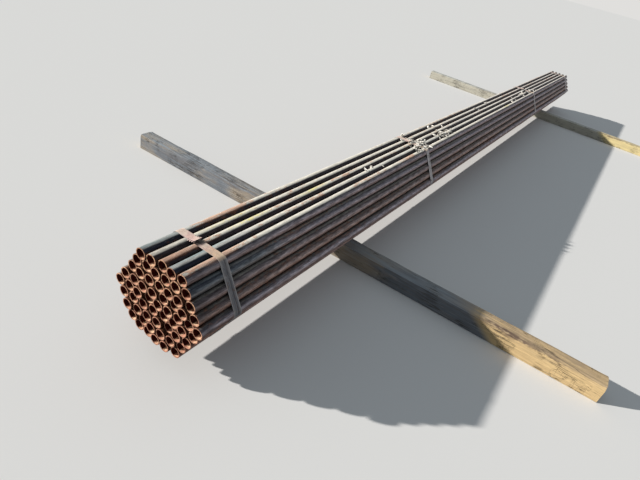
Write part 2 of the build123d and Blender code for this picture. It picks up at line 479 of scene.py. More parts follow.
def mill_scale_material(look):
    """Outside of a pipe: blue-grey scale, brown film, open rust, pale bloom with a painted sun highlight on
    top, painted sheen on the flanks, grime with painted shade between neighbours, and chalk daubs.
    """
    material, sheet = new_material("Mill scale", specular=0.04)
    place = sheet.place()
    tone = sheet.attribute("tone")
    rusted = sheet.attribute("rust")
    crevice = sheet.attribute("crevice")
    long_streak = sheet.streaks(place, (46.0, 1.3, 46.0), 0.35, 0.65)
    fine_streak = sheet.streaks(place, (230.0, 16.0, 230.0))
    speckle = sheet.noise(place, 330.0, detail=3.0, rough=0.7)

    # Scale, cool or warm by the pipe's tone, under a brown film with pale and dark specks
    skin = sheet.mix(tone, look.scale_colour, (0.046, 0.029, 0.025))
    film = sheet.plus(sheet.times(long_streak, 0.5), sheet.minus(rusted, 0.30), clamp=True)
    skin = sheet.mix(film, skin, look.film_colour)
    skin = sheet.coat(skin, (0.100, 0.088, 0.084), fine_streak, 0.25)
    skin = sheet.mix(sheet.span(speckle, 0.55, 0.75, 0.0, 0.5), skin, (0.100, 0.070, 0.056))
    skin = sheet.mix(sheet.span(speckle, 0.45, 0.28, 0.0, 0.6), skin, (0.010, 0.010, 0.014))

    # Open rust in patches drawn out along the pipe
    amount = sheet.plus(rusted, sheet.span(long_streak, 0.0, 1.0, -0.08, 0.08, smooth=False))
    rust = sheet.rust(sheet.stretch(place, (1.0, 0.35, 1.0)), amount, grain=95.0)
    rusty = sheet.mix(rust["Openness"], scaled(look.rust_colour, 0.42), look.rust_colour)
    skin = sheet.coat(skin, rusty, rust["Mask"], 0.55)

    # Painted sheen along the crests of the flanks, then painted light: a warm cast below and a cool one above
    sheen_mask = sheet.times(sheet.attribute("sheen"), sheet.span(fine_streak, 0.0, 1.0, 0.55, 1.0))
    wear_and_sheen = sheet.mix(sheet.span(tone, 0.10, 0.50), (0.58, 0.61, 0.58), look.sheen_colour)
    wear_and_sheen = sheet.mix(sheet.span(tone, 0.55, 0.95), wear_and_sheen, (0.84, 0.64, 0.53))
    skin = sheet.coat(skin, wear_and_sheen, sheen_mask, 0.9)
    # Painted light: faces turned down are warmed and lightened as by a bounce from below, and faces turned up
    # are cooled and darkened as by sky light.
    rise = sheet.span(sheet.axis(sheet.normal(), "Z"), -0.1, 0.75)
    skin = sheet.tint(skin, sheet.mix(rise, (1.20, 1.01, 0.97), (0.92, 0.96, 1.09)))

    # Pale bloom on top with a painted sun highlight on the side that faces the key light, narrower and paler
    # towards the far end
    far = sheet.span(sheet.axis(place, "Y"), -1.6, 1.5)
    low = sheet.span(far, 0.0, 1.0, 0.77, 0.90, smooth=False)
    high = sheet.span(far, 0.0, 1.0, 0.93, 0.975, smooth=False)
    bloom_and_highlight = sheet.bloom_and_highlight(place, (90.0, 12.0, 90.0), low, high, 0.25, facing=(-0.20, 0.0, 0.980))
    bloom_and_highlight = sheet.times(bloom_and_highlight, sheet.attribute("bloom_and_highlight"))
    hue = sheet.plus(sheet.times(tone, 0.75), sheet.times(long_streak, 0.25))
    pale = sheet.mix(sheet.span(hue, 0.08, 0.30), (0.44, 0.54, 0.54), (0.80, 0.78, 0.71))
    pale = sheet.mix(sheet.span(hue, 0.30, 0.55), pale, look.bloom_and_highlight_colour)
    pale = sheet.coat(pale, (0.92, 0.87, 0.83), far, 0.6)
    pale = sheet.coat(pale, (0.78, 0.46, 0.31), rust["Mask"], 0.8)
    pale = sheet.mix(sheet.span(speckle, 0.52, 0.36, 0.0, 0.35), pale, (0.20, 0.19, 0.18))
    skin = sheet.coat(skin, pale, bloom_and_highlight, 0.96)

    # Scratches, and a mottle that is weaker in the bloom and painted highlight
    skin = sheet.coat(skin, (0.36, 0.33, 0.31), sheet.scratches(place, (300.0, 9.0, 300.0), 0.012), 0.45)
    mottle = sheet.noise(place, (150.0, 24.0, 150.0), detail=5.0, rough=0.72)
    mottled = sheet.span(mottle, 0.33, 0.67, 0.56, 1.34)
    skin = sheet.tint(skin, sheet.coat(mottled, (1.0, 1.0, 1.0), bloom_and_highlight, 0.6))

    # Flash rust near the ends, and all along between neighbours grime with painted shade, darkest where they
    # touch
    flash = sheet.times(near_mouth(sheet, place, 0.055, 0.015), sheet.span(crevice, 0.02, 0.20))
    flash_colour = sheet.mix(sheet.span(speckle, 0.35, 0.60), (0.050, 0.014, 0.009), (0.20, 0.085, 0.042))
    skin = sheet.coat(skin, flash_colour, flash, 0.9)
    skin = sheet.tint(skin, sheet.span(crevice, 0.0, 1.0, 1.0, 0.13, smooth=False))

    # Chalk, broken up as a dry stroke is
    strokes = sheet.noise(place, (150.0, 95.0, 150.0), detail=3.0, distortion=1.2)
    daub = sheet.times(sheet.span(strokes, 0.43, 0.52), sheet.attribute("chalk"), clamp=True)
    skin = sheet.coat(skin, look.chalk_colour, daub, 0.9)

    rough = sheet.span(rust["Mask"], 0.0, 1.0, 0.48, 0.74, smooth=False)
    rough = sheet.plus(rough, sheet.times(bloom_and_highlight, 0.10), clamp=True)
    height = sheet.plus(rust["Height"], sheet.times(fine_streak, 0.25))
    height = sheet.plus(height, sheet.times(speckle, 0.4))
    finish_material(sheet, skin, rough, height, depth=0.0005)
    return material


def sawn_material(look):
    """Sawn rim: flash rust with fine saw marks, brighter in the upper rows and uneven from pipe to pipe."""
    material, sheet = new_material("Sawn pipe end", specular=0.12)
    place = sheet.place()
    marks = sheet.noise(place, (900.0, 900.0, 120.0), detail=2.0)
    blotch = sheet.noise(place, 95.0, detail=4.0, rough=0.7)
    pale = sheet.mix(sheet.span(sheet.axis(place, "Z"), 0.14, 0.36), look.sawn_colour, (0.76, 0.45, 0.27))
    pale = sheet.tint(pale, sheet.mix(sheet.attribute("tone"), (0.70, 0.66, 0.66), (1.16, 1.18, 1.18)))
    colour = sheet.mix(sheet.span(blotch, 0.38, 0.58), pale, scaled(look.sawn_colour, 0.42))
    finish_material(sheet, colour, sheet.span(marks, 0.3, 0.7, 0.55, 0.75), marks, depth=0.0002)
    return material


def bore_material(look):
    """Inside of a pipe: dark red rust, with a painted pool of key light, bright orange rust, just inside its
    two mouths.
    """
    material, sheet = new_material("Bore rust", specular=0.04)
    place = sheet.place()
    rust = sheet.rust(place, amount=0.55, grain=110.0)
    deep = sheet.mix(rust["Mask"], scaled(look.bore_colour, 0.55), look.bore_colour)
    mouth = sheet.mix(rust["Mask"], (0.94, 0.66, 0.42), look.sawn_colour)
    # Painted light: bright rust on the wall that faces the key light, just inside each mouth, where the key
    # light would shine in.
    facing_key = sheet.bloom_and_highlight(place, (80.0, 40.0, 80.0), 0.62, 0.86, 0.20, facing=(-0.42, 0.0, 0.907))
    painted_light = sheet.times(near_mouth(sheet, place, 0.110, 0.045), facing_key)
    rough = sheet.span(rust["Mask"], 0.0, 1.0, 0.62, 0.85)
    finish_material(sheet, sheet.mix(painted_light, deep, mouth), rough, rust["Height"], depth=0.0006)
    return material


def strap_material(look):
    """Strapping steel: blue-grey, rubbed pale on top, with brown rust, painted shade along a crease and a
    painted shadow past the lap.
    """
    material, sheet = new_material("Strap steel", metallic=0.1, specular=0.2)
    place = sheet.place()
    rust = sheet.rust(place, amount=0.42, grain=48.0)
    rusty = sheet.mix(rust["Openness"], (0.13, 0.075, 0.055), (0.40, 0.22, 0.12))
    streak = sheet.streaks(place, (30.0, 260.0, 30.0))
    blotch = sheet.span(sheet.noise(place, 26.0, detail=3.0), 0.44, 0.58)
    pale = sheet.mix(blotch, look.worn_colour, (0.88, 0.60, 0.52))
    pale = sheet.mix(sheet.span(sheet.axis(place, "X"), 0.01, 0.07, 0.0, 0.75), pale, (0.90, 0.62, 0.37))
    bloom_and_highlight = sheet.bloom_and_highlight(place, (70.0, 70.0, 70.0), 0.60, 0.93, 0.30)
    colour = look.steel_colour
    for over, mask, strength in (
        ((0.30, 0.275, 0.27), streak, 0.8),
        ((0.68, 0.63, 0.63), sheet.attribute("tone"), 0.9),
        # Painted shade along the crease
        ((0.035, 0.033, 0.040), sheet.attribute("crease_shade"), 0.75),
        (rusty, rust["Mask"], 0.55),
        ((0.52, 0.49, 0.48), sheet.attribute("edge"), 0.85),
        (pale, bloom_and_highlight, 0.88),
        # Painted shadow of the lifted lap end on the layer below
        ((0.020, 0.017, 0.016), sheet.attribute("lap_shadow"), 0.94),
        ((0.50, 0.47, 0.44), sheet.scratches(place, (20.0, 420.0, 20.0), 0.03), 0.6),
    ):
        colour = sheet.coat(colour, over, mask, strength)
    rough = sheet.span(rust["Mask"], 0.0, 1.0, 0.38, 0.66)
    height = sheet.plus(rust["Height"], sheet.times(streak, 0.3))
    finish_material(sheet, colour, rough, height, depth=0.0003)
    return material


def timber_material(look):
    """Sawn timber, grain along X: the near one turns from grey to tan, the far one is newer and all tan."""
    material, sheet = new_material("Weathered timber", specular=0.2)
    place = sheet.place()
    shifted = sheet.vector("ADD", place, (3.7, 0.9, 0.4))
    bands = sheet.streaks(place, (2.2, 95.0, 95.0), 0.34, 0.66)
    fibres = sheet.streaks(place, (11.0, 520.0, 520.0))
    outside = sheet.axis(place, "X")
    newer = sheet.span(sheet.axis(place, "Y"), -0.5, 0.5)

    # Grey near the bundle and tan further out, khaki and yellow on the newer far timber: wood colour, with
    # the change laid along the edge of the bundle's shadow as painted light, warm tan where the key light
    # falls and grey in the shade
    blotch = sheet.noise(place, (2.6, 9.0, 9.0), detail=4.0, rough=0.6)
    dry_and_sunlit = sheet.span(sheet.plus(outside, sheet.times(sheet.axis(place, "Z"), 1.3)), 0.85, 0.92)
    tan = sheet.times(sheet.span(blotch, 0.42, 0.62), 0.30)
    tan = sheet.plus(tan, sheet.times(dry_and_sunlit, 0.94), clamp=True)
    tan = sheet.math("MAXIMUM", tan, sheet.times(newer, 0.88))
    new_wood = sheet.mix(dry_and_sunlit, (0.67, 0.64, 0.52), look.new_colour)
    colour = sheet.mix(tan, look.grey_colour, sheet.mix(newer, look.tan_colour, new_wood))

    # Silvered on top
    weathered = sheet.bloom_and_highlight(place, (7.0, 60.0, 60.0), 0.80, 0.97, 0.7)
    silver = sheet.mix(sheet.span(outside, 0.60, 0.90), (0.36, 0.42, 0.47), (0.53, 0.40, 0.27))
    silver = sheet.mix(newer, silver, sheet.mix(dry_and_sunlit, (0.58, 0.62, 0.62), (0.66, 0.58, 0.42)))
    colour = sheet.coat(colour, silver, weathered, 0.85)

    # Grain
    dark_band = sheet.times(bands, sheet.span(newer, 0.0, 1.0, 0.55, 0.30))
    colour = sheet.mix(dark_band, colour, sheet.mix(0.55, colour, (0.15, 0.095, 0.055)))
    colour = sheet.coat(colour, sheet.mix(0.6, colour, (0.12, 0.09, 0.07)), fibres, 0.32)

    # Stains
    spots = sheet.noise(place, (26.0, 60.0, 60.0), detail=2.0)
    stain = sheet.times(sheet.attribute("stain"), sheet.span(spots, 0.40, 0.56, 0.15, 1.0))
    colour = sheet.coat(colour, (0.11, 0.070, 0.060), stain, 0.85)

    # Long cracks, short checks and seams, and bleached streaks in the grey wood
    crack = sheet.scratches(place, (5.0, 150.0, 150.0), 0.030)
    check = sheet.scratches(place, (46.0, 9.0, 9.0), 0.014)
    seam = sheet.scratches(shifted, (3.0, 62.0, 62.0), 0.040)
    crack = sheet.math("MAXIMUM", crack, sheet.times(check, 0.6))
    crack = sheet.math("MAXIMUM", crack, sheet.times(seam, 0.8))
    bleached = sheet.streaks(shifted, (5.0, 170.0, 170.0), 0.52, 0.72)
    bleached = sheet.times(bleached, sheet.span(tan, 0.2, 0.8, 0.45, 0.0))
    colour = sheet.mix(bleached, colour, (0.47, 0.49, 0.50))
    colour = sheet.coat(colour, (0.045, 0.034, 0.026), crack, 0.85)

    rough = sheet.span(fibres, 0.0, 1.0, 0.72, 0.9)
    height = sheet.minus(sheet.times(bands, 0.5), sheet.times(fibres, 0.4))
    finish_material(sheet, colour, rough, sheet.minus(height, crack), depth=0.0010)
    return material


def end_grain_material(look):
    """End of a timber: growth rings round a heart outside the section, dirty and grey."""
    material, sheet = new_material("Timber end grain", specular=0.2)
    place = sheet.place()
    heart_below = 0.035
    across = sheet.plus(sheet.axis(place, "Y"), sheet.times(sheet.noise(place, 14.0), 0.01))
    rise = sheet.plus(sheet.axis(place, "Z"), heart_below)
    radius = sheet.math("SQRT", sheet.plus(sheet.times(across, across), sheet.times(rise, rise)))
    ring = sheet.math("PINGPONG", sheet.times(radius, 190.0), 1.0)
    pores = sheet.noise(place, 700.0, detail=2.0)
    early, late = scaled(look.tan_colour, 0.75), scaled(look.grey_colour, 0.5)
    colour = sheet.mix(sheet.span(ring, 0.2, 0.9), early, late)
    colour = sheet.mix(sheet.span(pores, 0.5, 0.8, 0.0, 0.5), colour, (0.08, 0.06, 0.045))
    finish_material(sheet, colour, sheet.span(pores, 0.3, 0.7, 0.78, 0.92), ring, depth=0.0006)
    return material


def leaf_material(look):
    """Dry leaf, from straw to brown."""
    material, sheet = new_material("Dry leaf", specular=0.25)
    veins = sheet.noise(sheet.place(), 260.0, detail=3.0, rough=0.6)
    brown, straw = scaled(look.leaf_colour, 0.78), scaled(look.leaf_colour, 1.3)
    colour = sheet.mix(sheet.attribute("tone"), brown, straw)
    colour = sheet.mix(sheet.span(veins, 0.45, 0.7, 0.0, 0.45), colour, (0.22, 0.15, 0.10))
    finish_material(sheet, colour, sheet.span(veins, 0.3, 0.7, 0.6, 0.8), veins, depth=0.0005)
    return material


def seen_directly(sheet):
    """1 for the camera and for reflections, 0 for the light that a surface throws on others."""
    light = sheet.add("ShaderNodeLightPath").outputs
    return sheet.math("MAXIMUM", light["Is Camera Ray"], light["Is Glossy Ray"])


def floor_material(look):
    """Plain pale floor. It lights the other pieces as a greyer one, so their undersides stay dark."""
    material, sheet = new_material("Pale floor", specular=0.0)
    finish_material(sheet, sheet.mix(seen_directly(sheet), (0.30, 0.30, 0.30), look.floor_colour), 1.0)
    return material


# Pipes

PIPE_SEED = 61
# Faces this close to a pipe's end are sawn
SAWN_WITHIN = 1.2 * MM
# Angle round a pipe from where a neighbour touches it to where its grime and painted shade end
CREVICE = math.radians(38)
# The pipe at the hexagon's right corner: (row, place)
RIGHT_CORNER = (5, 9)

# Patches that are rustier or cleaner than the rest of a pipe: (row, place): (middle, half length, change)
PATCHES = {
    (1, 1): [(0.34, 0.20, 0.42), (0.08, 0.14, -0.30), (1.1, 0.4, -0.15)],
    (1, 2): [(0.15, 0.4, -0.25), (1.2, 0.5, -0.15)],
    (1, 3): [(0.06, 0.18, 0.75), (0.55, 0.2, 0.22), (1.0, 0.14, 0.38), (2.4, 0.3, 0.10)],
    (1, 4): [(0.10, 0.3, -0.35), (0.75, 0.25, 0.15)],
    (1, 5): [(0.13, 0.26, 0.72), (1.12, 0.14, 0.34), (1.55, 0.10, 0.36), (0.5, 0.2, -0.2)],
    (2, 6): [(0.1, 0.25, -0.3), (0.5, 0.2, 0.22)],
    (3, 7): [(0.1, 0.2, -0.1), (0.45, 0.3, 0.16)],
    (5, 9): [(0.3, 0.5, -0.1)],
}
# Chalk daubs: (row, place): (middle, half length, strength)
DAUBS = {
    (1, 2): [(0.27, 0.08, 0.35), (0.36, 0.10, 0.62)],
    (1, 3): [(0.39, 0.14, 1.3), (0.79, 0.14, 0.9)],
    (1, 5): [(3.51, 0.12, 0.7)],
}
# Stretches that are cooler in colour than the rest of their pipe: (row, place): (middle, half length, change)
COOL = {
    (1, 1): [(0.05, 0.30, -0.35)],
    (1, 3): [(2.6, 0.5, -0.4)],
    (1, 4): [(0.05, 0.45, -0.75)],
    (2, 6): [(0.1, 0.5, -0.5)],
}
ROW_RUST = [0.30, 0.27, 0.34, 0.44, 0.40, 0.54, 0.58, 0.61, 0.62]
# Tones of the top row and of the pipes down the right side, from cool to warm
TOP_TONES = [0.45, 0.80, 0.70, 0.50, 0.65]
SIDE_TONES = {(2, 6): 0.45, (3, 7): 0.78, (4, 8): 0.92, (5, 9): 0.60}


def make_tube(name, look, cuts):
    """One pipe along +Y from the origin: a cylinder given steps, a wall and rounded rims."""
    only(None)
    bpy.ops.mesh.primitive_cylinder_add(
        vertices=look.flats,
        radius=look.outer_diameter / 2,
        depth=look.length,
        end_fill_type="NOTHING",
        location=(0, look.length / 2, 0),
        rotation=(math.pi / 2, 0, 0),
    )
    tube = added(name)
    settle(tube)
    if cuts > 0:
        bpy.ops.object.mode_set(mode="EDIT")
        pick_long_edges(tube, Y, look.length)
        bpy.ops.mesh.subdivide(number_cuts=cuts)
    modify(tube, "SOLIDIFY", thickness=look.wall, offset=-1.0, use_even_offset=True)
    modify(tube, "BEVEL", width=look.rim, segments=2, limit_method="ANGLE", angle_limit=math.radians(60))
    bpy.ops.object.shade_smooth_by_angle(angle=math.radians(35))
    return tube


def face_materials(tube, look):
    """Gives a pipe's outside, sawn ends and bore their own slots."""
    middle = (look.outer_diameter - look.wall) / 2
    for face in tube.data.polygons:
        x, y, z = face.center
        if min(y, look.length - y) < SAWN_WITHIN:
            face.material_index = 1
        else:
            face.material_index = 0 if math.hypot(x, z) > middle else 2


def pipe_starts(node, look):
    """(x, y, z) of each pipe's near end in a row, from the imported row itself."""
    low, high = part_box(node)
    height = (low.z + high.z) / 2
    count = round((high.x - low.x - look.outer_diameter) / look.pitch) + 1
    places = points_of(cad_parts[node].data)
    starts = []
    for number in range(count):
        x = (number - (count - 1) / 2) * look.pitch
        own = places[np.abs(places[:, X] - x) < look.outer_diameter / 2]
        starts.append((x, float(own[:, Y].min()), height))
    return starts


def bump_at(distance, middle, half):
    """1 at the middle of a patch, 0 outside it."""
    share = np.clip(1 - np.abs(distance - middle) / half, 0, 1)
    return share * share * (3 - 2 * share)


def patched(value, patches, behind, share=1.0):
    """A value with its patches along the pipe."""
    for middle, half, change in patches:
        value = value + change * share * bump_at(behind, middle, half)
    return value


def sheen_of(row, place, pipes_in_row, around, behind):
    """How much painted sheen a pipe shows: only at the flanks, on the side that it turns outwards."""
    if place not in (1, pipes_in_row):
        return 0.0 * around
    right = math.radians(18 if row < MIDDLE_ROW else 28 if row == MIDDLE_ROW else -30)
    facing = np.clip(np.cos(around - (right if place > 1 else math.pi - right)), 0, 1)
    sheen = 0.7 * facing**5 + 0.3 * facing**30
    # The corner pipe also gets a narrow painted highlight line.
    if (row, place) == RIGHT_CORNER:
        sheen = 0.75 * sheen + 0.65 * facing**60 + 0.26 * np.clip(np.cos(around + 0.5), 0, 1) ** 4
    if place == 1:
        sheen = 0.25 * sheen
    return sheen * (0.50 + 0.62 * np.clip(behind / 0.4, 0, 1) + 0.32 * np.clip((behind - 0.8) / 2.5, 0, 1))


def crevice_of(row, place, pipes_in_row, around):
    """How close each part of a pipe lies to where a neighbour touches it."""
    crevice = np.zeros(len(around))
    for sixth, (aside, down) in enumerate([(1, 0), (0.5, -1), (-0.5, -1), (-1, 0), (-0.5, 1), (0.5, 1)]):
        beside = abs(place - (pipes_in_row + 1) / 2 + aside)
        there = row + down
        pipes_there = len(ROWS) - abs(there - MIDDLE_ROW)
        if 1 <= there <= len(ROWS) and beside <= (pipes_there - 1) / 2:
            apart = np.arccos(np.clip(np.cos(around - math.radians(SIXTH * sixth)), -1, 1))
            crevice = np.maximum(crevice, 1 - apart / CREVICE)
    return crevice


def weather_pipe(mesh, row, place, pipes_in_row, rng):
    """Writes how each part of a pipe has weathered and where light is painted on it: its tone, rust, bloom
    with painted highlight, chalk, painted sheen, and grime with painted shade.
    """
    points = points_of(mesh)
    behind = points[:, Y]
    around = np.arctan2(points[:, Z], points[:, X])
    rise = np.sin(around)
    pipe = (row, place)

    tone = rng.random()
    tone = TOP_TONES[place - 1] if row == 1 else SIDE_TONES.get(pipe, tone)
    tone = patched(tone, COOL.get(pipe, []), behind)

    slow = np.array([noise.noise((1.3 * y, 3.7 * row, 5.3 * place)) for y in behind])
    rust = ROW_RUST[row - 1] + 0.10 * (rng.random() - 0.5) + 0.22 * slow
    on_top = 0.12 + 0.88 * np.clip((rise - 0.70) / 0.2, 0, 1) if row == 1 else 1.0
    rust = patched(rust, PATCHES.get(pipe, []), behind, on_top)
    rust = rust + 0.22 * np.clip(-rise, 0, 1)

    # Less bloom and painted highlight down the rows, and less in the first quarter metre from the near end
    open_sky = 1.0 if row == 1 else 0.55 if place == 1 else max(0.1, 0.50 - 0.07 * row)
    open_sky = open_sky * (0.55 + 0.45 * np.clip(behind / 0.25, 0, 1))

    # Chalk only on top, a little to the left
    top = np.clip((rise * 0.966 - np.cos(around) * 0.259 - 0.84) / 0.10, 0, 1)
    chalk = np.clip(patched(np.zeros(len(points)), DAUBS.get(pipe, []), behind), 0, 1) * top

    weather = {
        "tone": tone,
        "rust": rust,
        "bloom_and_highlight": open_sky,
        "chalk": chalk,
        "sheen": sheen_of(row, place, pipes_in_row, around, behind),
        "crevice": crevice_of(row, place, pipes_in_row, around),
    }
    for name, values in weather.items():
        set_attribute(mesh, name, np.clip(np.broadcast_to(values, len(points)), 0, 1))


class PIPE_BUNDLE_OT_pipes(bpy.types.Operator):
    """Lay the sixty-one pipes, row by row"""

    bl_idname = "pipe_bundle.pipes"
    bl_label = "Lay Pipes"
    bl_options = {"REGISTER", "UNDO"}

    def execute(self, context):
        look = context.scene.pipe_look
        rng = random.Random(PIPE_SEED)
        materials = [mill_scale_material(look), sawn_material(look), bore_material(look)]
        outer = make_tube("outer_tube", look, look.steps)
        inner = make_tube("inner_tube", look, 0)
        for tube in (outer, inner):
            give_materials(tube, *materials)
            face_materials(tube, look)
        for row, node in enumerate(ROWS, 1):
            starts = pipe_starts(node, look)
            pipes = []
            for place, start in enumerate(starts, 1):
                outside = row in (1, len(ROWS)) or place in (1, len(starts))
                only(outer if outside else inner)
                bpy.ops.object.duplicate(linked=False)
                pipe = bpy.context.object
                weather_pipe(pipe.data, row, place, len(starts), rng)
                bpy.ops.transform.translate(value=start)
                pipes.append(pipe)
            piece = join(pipes, f"pipes_of_row_{row}")
            settle(piece)
            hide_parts(node)
            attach(piece, BODY)
        for tube in (outer, inner):
            bpy.data.objects.remove(tube)
        return {"FINISHED"}


# Straps

STRIP_COLUMNS = 8
LAP_GAP = 0.2 * MM
NOTCHES = 3
NOTCH_PITCH = 9 * MM
NOTCH_HALF_WIDTH = 1.75 * MM
NOTCH_FROM_LAP_END = 8 * MM
# How a notch's cut tab is bent down
TAB_FOLD = (0, -8.0 * MM, -3.5 * MM)
# The last corner pipe that the strap meets, and the straight run up to it: (share of the run, of the climb)
LAST_CORNER = -4
CLIMB = ((0.125, 0), (0.25, 0), (0.33, 0), (0.5, 0.5), (0.67, 1), (0.75, 1), (0.875, 1))
# The back edge curls to the right of this x, and this far below the lap
CURL_FROM_X = 0.107
CURL_BELOW_LAP = 4 * MM


def strap_levels(look, pipes):
    """Side and height of the corner axes, and how far the strap's two layers lie from an axis."""
    side = (MIDDLE_ROW - 1) * pipes.pitch
    inner = pipes.outer_diameter / 2 + look.clearance + look.thickness / 2
    return side, side * math.sqrt(3) / 2, inner, inner + look.thickness + LAP_GAP


def notch_middles(look):
    """The x of each notch, from the lapping end."""
    return [look.lap_end - NOTCH_FROM_LAP_END - NOTCH_PITCH * number for number in range(NOTCHES)]


def in_notch(x, look):
    return any(abs(x - middle) < NOTCH_HALF_WIDTH for middle in notch_middles(look))


def strap_stations(look, pipes):
    """The strap's middle line in its own plane, from the covered end clockwise to the lapping end."""
    side, level, inner, outer = strap_levels(look, pipes)
    start = look.lap_end - look.lap
    halves = (NOTCH_HALF_WIDTH, -NOTCH_HALF_WIDTH)
    notch_edges = [middle + half for middle in notch_middles(look) for half in halves]

    def beside(number, degrees, reach):
        """A point this far from a corner pipe's axis. Corner 0 is on the right, 1 above it."""
        corner, angle = math.radians(SIXTH * number), math.radians(degrees)
        x = side * math.cos(corner) + reach * math.cos(angle)
        return x, side * math.sin(corner) + reach * math.sin(angle)

    def bend(number, reach):
        """The strip round a corner pipe, in steps of ten degrees."""
        first = SIXTH * (number + 0.5)
        return [beside(number, first - 10 * step, reach) for step in range(7)]

    past_lap = [look.lap_end + 12 * MM, look.lap_end + 18 * MM]
    stations = [(x, level + inner) for x in sorted([start, *notch_edges, look.lap_end, *past_lap])]
    for number in range(1, LAST_CORNER, -1):
        here, arrive = stations[-1], beside(number, SIXTH * (number + 0.5), inner)
        for eighth in range(1, 8):
            stations.append(tuple(a + (b - a) * (eighth / 8) for a, b in zip(here, arrive)))
        stations += bend(number, inner)

    # Up to the outer layer, round the last corner and over the lap
    here, facing = stations[-1], SIXTH * (LAST_CORNER + 0.5)
    arrive = beside(LAST_CORNER, facing, outer)
    rise = Vector((math.cos(math.radians(facing)), math.sin(math.radians(facing)))) * (outer - inner)
    run = Vector([b - a for a, b in zip(here, arrive)]) - rise
    for share, climb in CLIMB:
        stations.append(tuple(here[i] + run[i] * share + rise[i] * climb for i in range(2)))
    stations += bend(LAST_CORNER, outer)
    for x in sorted([start, *notch_edges, look.lap_end - 4 * MM, look.lap_end]):
        loose = min(1, max(0, (x - look.lap_end) / look.tail + 1))
        stations.append((x, level + outer + look.lift * loose * loose))
    return [Vector((x, 0, z + AXIS_Z)) for x, z in stations]


def lead_strip(node, look, stations, middle):
    """A flat strip extruded from station to station."""
    only(None)
    bpy.ops.mesh.primitive_grid_add(
        x_subdivisions=1, y_subdivisions=STRIP_COLUMNS, size=1.0, location=(0, 0, 0)
    )
    strap = added(f"steel_{node}")
    first = stations[1] - stations[0]
    strap.scale = (first.length, look.width, 1)
    strap.location = (stations[0] + stations[1]) / 2 + Vector((0, middle, 0))
    settle(strap)
    bpy.ops.object.mode_set(mode="EDIT")
    pick(strap, "VERT", lambda vert: abs(vert.co.x - stations[1].x) < 0.1 * MM)
    for here, there in zip(stations[1:], stations[2:]):
        bpy.ops.mesh.extrude_region_move(TRANSFORM_OT_translate={"value": there - here})
    return strap


def cut_notches(strap, look, middle, lap_z, outer_z):
    """Cuts the notches at both edges of the lap and bends their tabs down on one side."""
    notch_y = look.width / 2 * (1 - 2 / STRIP_COLUMNS)

    def cut_out(face):
        centre = face.calc_center_median()
        return centre.z > lap_z and in_notch(centre.x, look) and abs(centre.y - middle) > notch_y

    def tab_root(edge):
        here, there = edge.verts[0].co, edge.verts[1].co
        centre = (here + there) / 2
        across = abs(centre.y - middle + notch_y) < 0.2 * MM and abs(here.x - there.x) > 1 * MM
        return centre.z > outer_z and in_notch(centre.x, look) and across

    pick(strap, "FACE", cut_out)
    bpy.ops.mesh.delete(type="FACE")
    pick(strap, "EDGE", tab_root)
    bpy.ops.mesh.extrude_region_move(TRANSFORM_OT_translate={"value": TAB_FOLD})
    bpy.ops.mesh.select_all(action="SELECT")
    bpy.ops.mesh.normals_make_consistent(inside=False)


def curl_edge(strap, look, middle, lap_z, curl):
    """Lifts the strap's back edge off the right flank."""
    for across, lift in ((0.75, 0.28), (1.0, 1.0)):
        y = middle + across * look.width / 2

        def on_right(vert):
            at_edge = abs(vert.co.y - y) < 0.5 * MM
            return at_edge and vert.co.x > CURL_FROM_X and vert.co.z < lap_z - CURL_BELOW_LAP

        pick(strap, "VERT", on_right)
        bpy.ops.transform.shrink_fatten(value=curl * lift)


def make_strap(node, look, pipes, curl, paler):
    """One strap: a strip led round the bundle, notched at the lap, with one edge that curls up."""
    low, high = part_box(node)
    middle = (low.y + high.y) / 2
    _, level, inner, _ = strap_levels(look, pipes)
    lap_z = AXIS_Z + level
    strap = lead_strip(node, look, strap_stations(look, pipes), middle)
    cut_notches(strap, look, middle, lap_z, lap_z + inner + look.thickness / 2)
    curl_edge(strap, look, middle, lap_z, curl)
    modify(strap, "SOLIDIFY", thickness=look.thickness, offset=0.0, use_even_offset=True)
    bpy.ops.object.shade_smooth_by_angle(angle=math.radians(25))

    # A painted shadow just past the lap's end, bright edges, painted shade along a crease in the strip, and a
    # paler right side
    points = points_of(strap.data)
    across = (points[:, Y] - middle) / (look.width / 2)
    # Painted shadow: dark on the lower layer for a short way past the lap's end
    past_lap = np.clip(1.6 - np.abs(points[:, X] - look.lap_end - 6 * MM) / (12 * MM), 0, 1)
    set_attribute(strap.data, "lap_shadow", past_lap * (np.abs(points[:, Z] - lap_z - inner) < 0.6 * MM))
    set_attribute(strap.data, "edge", np.clip((np.abs(across) - 0.7) / 0.3, 0, 1))
    # Painted shade: a dark line along the strip, a quarter of the half width towards the back edge
    set_attribute(strap.data, "crease_shade", np.clip(1 - np.abs(across - 0.25) / 0.25, 0, 1))
    set_attribute(strap.data, "tone", paler * (points[:, X] > 0.09))
    return strap


class PIPE_BUNDLE_OT_straps(bpy.types.Operator):
    """Lead the four steel straps round the bundle"""

    bl_idname = "pipe_bundle.straps"
    bl_label = "Fasten Straps"
    bl_options = {"REGISTER", "UNDO"}

    def execute(self, context):
        look, pipes = context.scene.strap_look, context.scene.pipe_look
        steel = strap_material(look)
        for number, node in enumerate(STRAPS):
            paler = 0.0 if node == "strap_near_end" else 0.9
            strap = make_strap(node, look, pipes, look.curl * (1.0 - 0.2 * number), paler)
            give_materials(strap, steel)
            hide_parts(node)
            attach(strap, BODY)
        return {"FINISHED"}


# Bearers

BEARER_SEEDS = {"bearer_near": 3, "bearer_far": 8}
STRIPS_ACROSS = 12
CUTS_ALONG = 223
CRACKS = 9
CRACK_HALF_WIDTH = 1.1 * MM
# Least and most, in millimetres
CRACK_DEPTHS = (3, 6)
